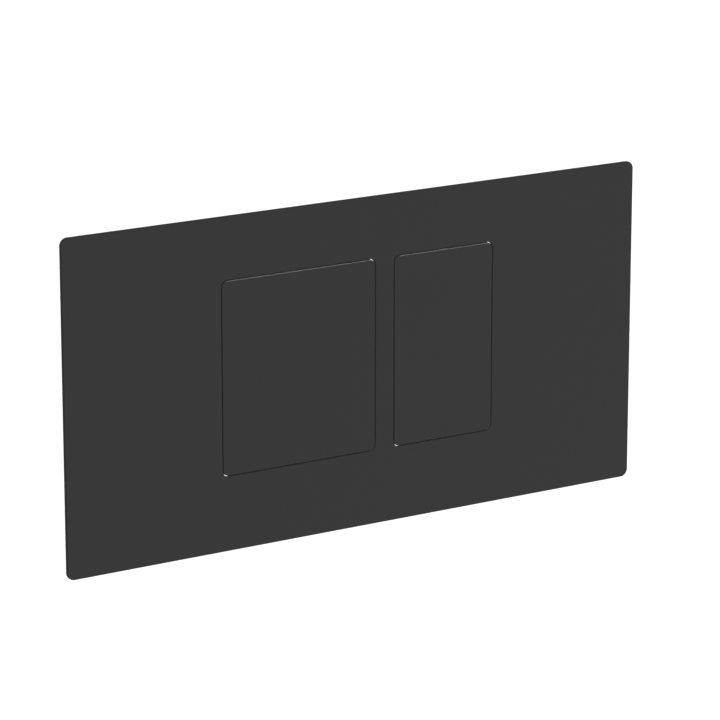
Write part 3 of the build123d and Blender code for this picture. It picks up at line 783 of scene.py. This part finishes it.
def make_pads():
    """Tapered rubber pads that end the buttons' travel."""
    low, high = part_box("stop_pads")
    shrink = 2 * (high.y - low.y) * math.tan(PAD_TAPER)
    share = Vector((1 - shrink / PAD_W, 1, 1 - shrink / (high.z - low.z)))
    for key in KEYS:
        cap_low, cap_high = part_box(f"{key}_button_cap")
        for side, x in zip(SIDES, (cap_low.x + PAD_INSET, cap_high.x - PAD_INSET)):
            corner = Vector((x - PAD_W / 2, low.y, low.z))
            pad = block(f"{key}_pad_{side}", corner, Vector((x + PAD_W / 2, high.y, high.z)))
            pick(pad, "FACE", facing((0, -1, 0)))
            bpy.ops.transform.resize(value=share, center_override=(x, low.y, (low.z + high.z) / 2))
            close_edit()
            round_edges(pad, lambda edge: not at(1, high.y)(edge), PAD_EDGE_R)
            fit(pad, "stop_pads")


def make_push_rod(key):
    """Rod with a chamfered head, and a screw thread at its far end."""
    node = f"{key}_push_rod"
    low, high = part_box(node)
    spot = middle(node)
    head_r = (high.x - low.x) / 2
    rod = bar(f"{key}_rod_shank", head_r, low.y, low.y + ROD_HEAD_T, spot)
    pick(rod, "FACE", facing((0, 1, 0)))
    bpy.ops.mesh.inset(thickness=head_r - ROD_D / 2)
    shank = Vector((0, high.y - low.y - ROD_HEAD_T, 0))
    bpy.ops.mesh.extrude_region_move(TRANSFORM_OT_translate={"value": shank})
    close_edit()
    chamfer_edges(rod, at(1, low.y), ROD_HEAD_CHAMFER)
    chamfer_edges(rod, at(1, high.y), ROD_END_CHAMFER)
    thread_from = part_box(f"{key}_rod_lock_nut")[0].y - ROD_THREAD_LEAD
    combine(rod, groove(ROD_PITCH, ROD_D / 2, thread_from, high.y + ROD_PITCH, spot), "DIFFERENCE")
    fit(rod, node)


def make_lock_nut(key):
    """Nut that holds the rod's set length."""
    node = f"{key}_rod_lock_nut"
    low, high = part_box(node)
    nut = hex_nut(f"{key}_lock_nut", high.z - low.z, low.y, high.y, middle(node), LOCK_NUT_CONE)
    drill(nut, ROD_D / 2 + THREAD_CLEAR, low.y, high.y, middle(node))
    fit(nut, node)


def make_extension(key):
    """Six-sided sleeve with a closed, chamfered end."""
    node = f"{key}_rod_extension"
    low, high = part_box(node)
    spot = middle(node)
    sleeve = bar(f"{key}_hex_sleeve", (high.x - low.x) / 2, low.y, high.y, spot, sides=HEX)
    chamfer_edges(sleeve, at(1, high.y), EXTENSION_CHAMFER)
    round_edges(sleeve, lambda edge: not at(1, low.y)(edge), EXTENSION_EDGE_R)
    bore = bar("bore", ROD_D / 2 + THREAD_CLEAR, low.y - CUT_PAST, high.y - EXTENSION_END_T, spot)
    combine(sleeve, bore, "DIFFERENCE")
    fit(sleeve, node)


def make_fixing_studs():
    """Threaded studs with a six-sided collar and a driver slot, and their thumb nuts."""
    low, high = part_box("fixing_studs")
    nut_low, nut_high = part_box("fixing_nuts")
    corner_r = hex_radius(STUD_COLLAR_FLATS)
    spot = low.x + corner_r, (low.z + high.z) / 2
    apart = Vector((high.x - low.x - 2 * corner_r, 0, 0))

    stud = bar("fixing_stud_left", STUD_D / 2, low.y, high.y, spot)
    for end in (low.y, high.y):
        chamfer_edges(stud, at(1, end), STUD_END_CHAMFER)
    cutter = groove(STUD_PITCH, STUD_D / 2, low.y - STUD_PITCH, high.y + STUD_PITCH, spot)
    combine(stud, cutter, "DIFFERENCE")
    collar_back = high.y - STUD_REACH
    collar = hex_nut("collar", STUD_COLLAR_FLATS, collar_back - STUD_COLLAR_T, collar_back, spot, NUT_CONE)
    combine(stud, collar, "UNION")
    slot_low = Vector((spot[0] - STUD_D, low.y - CUT_PAST, spot[1] - DRIVE_SLOT_W / 2))
    slot_high = Vector((spot[0] + STUD_D, low.y + DRIVE_SLOT_DEPTH, spot[1] + DRIVE_SLOT_W / 2))
    combine(stud, block("slot", slot_low, slot_high), "DIFFERENCE")

    nut_r = THUMB_NUT_D / 2
    nut = bar("thumb_nut_left", nut_r, nut_low.y, nut_high.y, spot, sides=THUMB_NUT_NOTCHES)
    for i in range(THUMB_NUT_NOTCHES):
        turn = math.tau * i / THUMB_NUT_NOTCHES
        edge_spot = spot[0] + nut_r * math.cos(turn), spot[1] + nut_r * math.sin(turn)
        # With this count of sides, no corner of a notch lies on a flat of the nut
        drill(nut, THUMB_NOTCH_R, nut_low.y, nut_high.y, edge_spot, sides=THUMB_NOTCH_SIDES)
    for end in (nut_low.y, nut_high.y):
        round_edges(nut, rim(end), THUMB_NUT_EDGE_R)
    drill(nut, STUD_D / 2 + THREAD_CLEAR, nut_low.y, nut_high.y, spot)

    for obj, node in ((stud, "fixing_studs"), (nut, "fixing_nuts")):
        fit(copied(obj, obj.name.replace("left", "right"), apart), node)
        fit(obj, node)


# Studio: floor, world, lamps and camera

def seen_directly(tree):
    """Socket that is 1 for camera, glossy and transmission rays."""
    rays = tree.nodes.new("ShaderNodeLightPath")
    total = rays.outputs["Is Camera Ray"]
    for label in ("Is Glossy Ray", "Is Transmission Ray"):
        either = tree.nodes.new("ShaderNodeMath")
        either.operation = "MAXIMUM"
        tree.links.new(total, either.inputs[0])
        tree.links.new(rays.outputs[label], either.inputs[1])
        total = either.outputs["Value"]
    return total


def make_floor():
    """Plain pale floor well below the plate, white to the camera."""
    bpy.ops.mesh.primitive_plane_add(size=FLOOR_SIZE, location=(0, 0, FLOOR_Z))
    floor = placed("floor")
    material = bpy.data.materials.new("floor_white")
    material.use_nodes = True
    tree = material.node_tree
    shader = tree.nodes["Principled BSDF"]
    shader.inputs["Base Color"].default_value = FLOOR_COLOUR
    shader.inputs["Roughness"].default_value = 1.0
    shader.inputs["Specular IOR Level"].default_value = 0.0
    shader.inputs["Emission Color"].default_value = WHITE
    glow = tree.nodes.new("ShaderNodeMath")
    glow.operation = "MULTIPLY"
    glow.inputs[1].default_value = FLOOR_GLOW
    tree.links.new(seen_directly(tree), glow.inputs[0])
    tree.links.new(glow.outputs["Value"], shader.inputs["Emission Strength"])
    floor.data.materials.append(material)


def make_world():
    """White all round: full strength where it is seen, softer as light on the object."""
    world = bpy.data.worlds.new("studio_white")
    world.use_nodes = True
    tree = world.node_tree
    background = tree.nodes["Background"]
    background.inputs["Color"].default_value = WHITE
    level = tree.nodes.new("ShaderNodeMapRange")
    level.inputs["To Min"].default_value = SKY_DIFFUSE
    level.inputs["To Max"].default_value = 1.0
    tree.links.new(seen_directly(tree), level.inputs["Value"])
    tree.links.new(level.outputs["Result"], background.inputs["Strength"])
    bpy.context.scene.world = world


def make_lamp(name, toward, strength, angle):
    """Soft distant lamp that shines from this direction."""
    turn = toward.to_track_quat("Z", "Y").to_euler()
    bpy.ops.object.light_add(type="SUN", location=toward, rotation=turn)
    lamp = bpy.context.object
    lamp.name = name
    lamp.data.energy = strength
    lamp.data.angle = angle


def make_camera():
    """Camera at the photograph's viewing angle."""
    flat = math.cos(CAMERA_ELEVATION)
    back = Vector((
        math.sin(CAMERA_AZIMUTH) * flat, -math.cos(CAMERA_AZIMUTH) * flat, math.sin(CAMERA_ELEVATION),
    ))
    turn = back.to_track_quat("Z", "Y").to_euler()
    bpy.ops.object.camera_add(location=CAMERA_TARGET + back * CAMERA_DISTANCE, rotation=turn)
    camera = bpy.context.object
    camera.name = "camera"
    camera.data.lens = CAMERA_LENS
    camera.data.sensor_width = CAMERA_SENSOR
    bpy.context.scene.camera = camera


make_coated_sheet()
make_weld_studs()
make_seal()
make_moulding("chassis", "moulded_chassis", ledges=CHASSIS_LEDGES, slots=CHASSIS_SLOTS)
make_moulding("mounting_frame", "moulded_frame", slots=FRAME_SLOTS)
for key in KEYS:
    make_cap(key)
    make_moulding(f"{key}_button_carrier", f"{key}_carrier_moulding")
    make_hinge_pin(key)
    make_push_rod(key)
    make_lock_nut(key)
    make_extension(key)
    for side in SIDES:
        make_leaf(key, side)
make_pads()
make_fixing_studs()

make_floor()
make_world()
make_lamp("top_lamp", TOP_LAMP_FROM, TOP_LAMP_STRENGTH, TOP_LAMP_ANGLE)
make_lamp("back_lamp", BACK_LAMP_FROM, BACK_LAMP_STRENGTH, BACK_LAMP_ANGLE)
make_camera()
bpy.context.scene.view_settings.view_transform = "Standard"
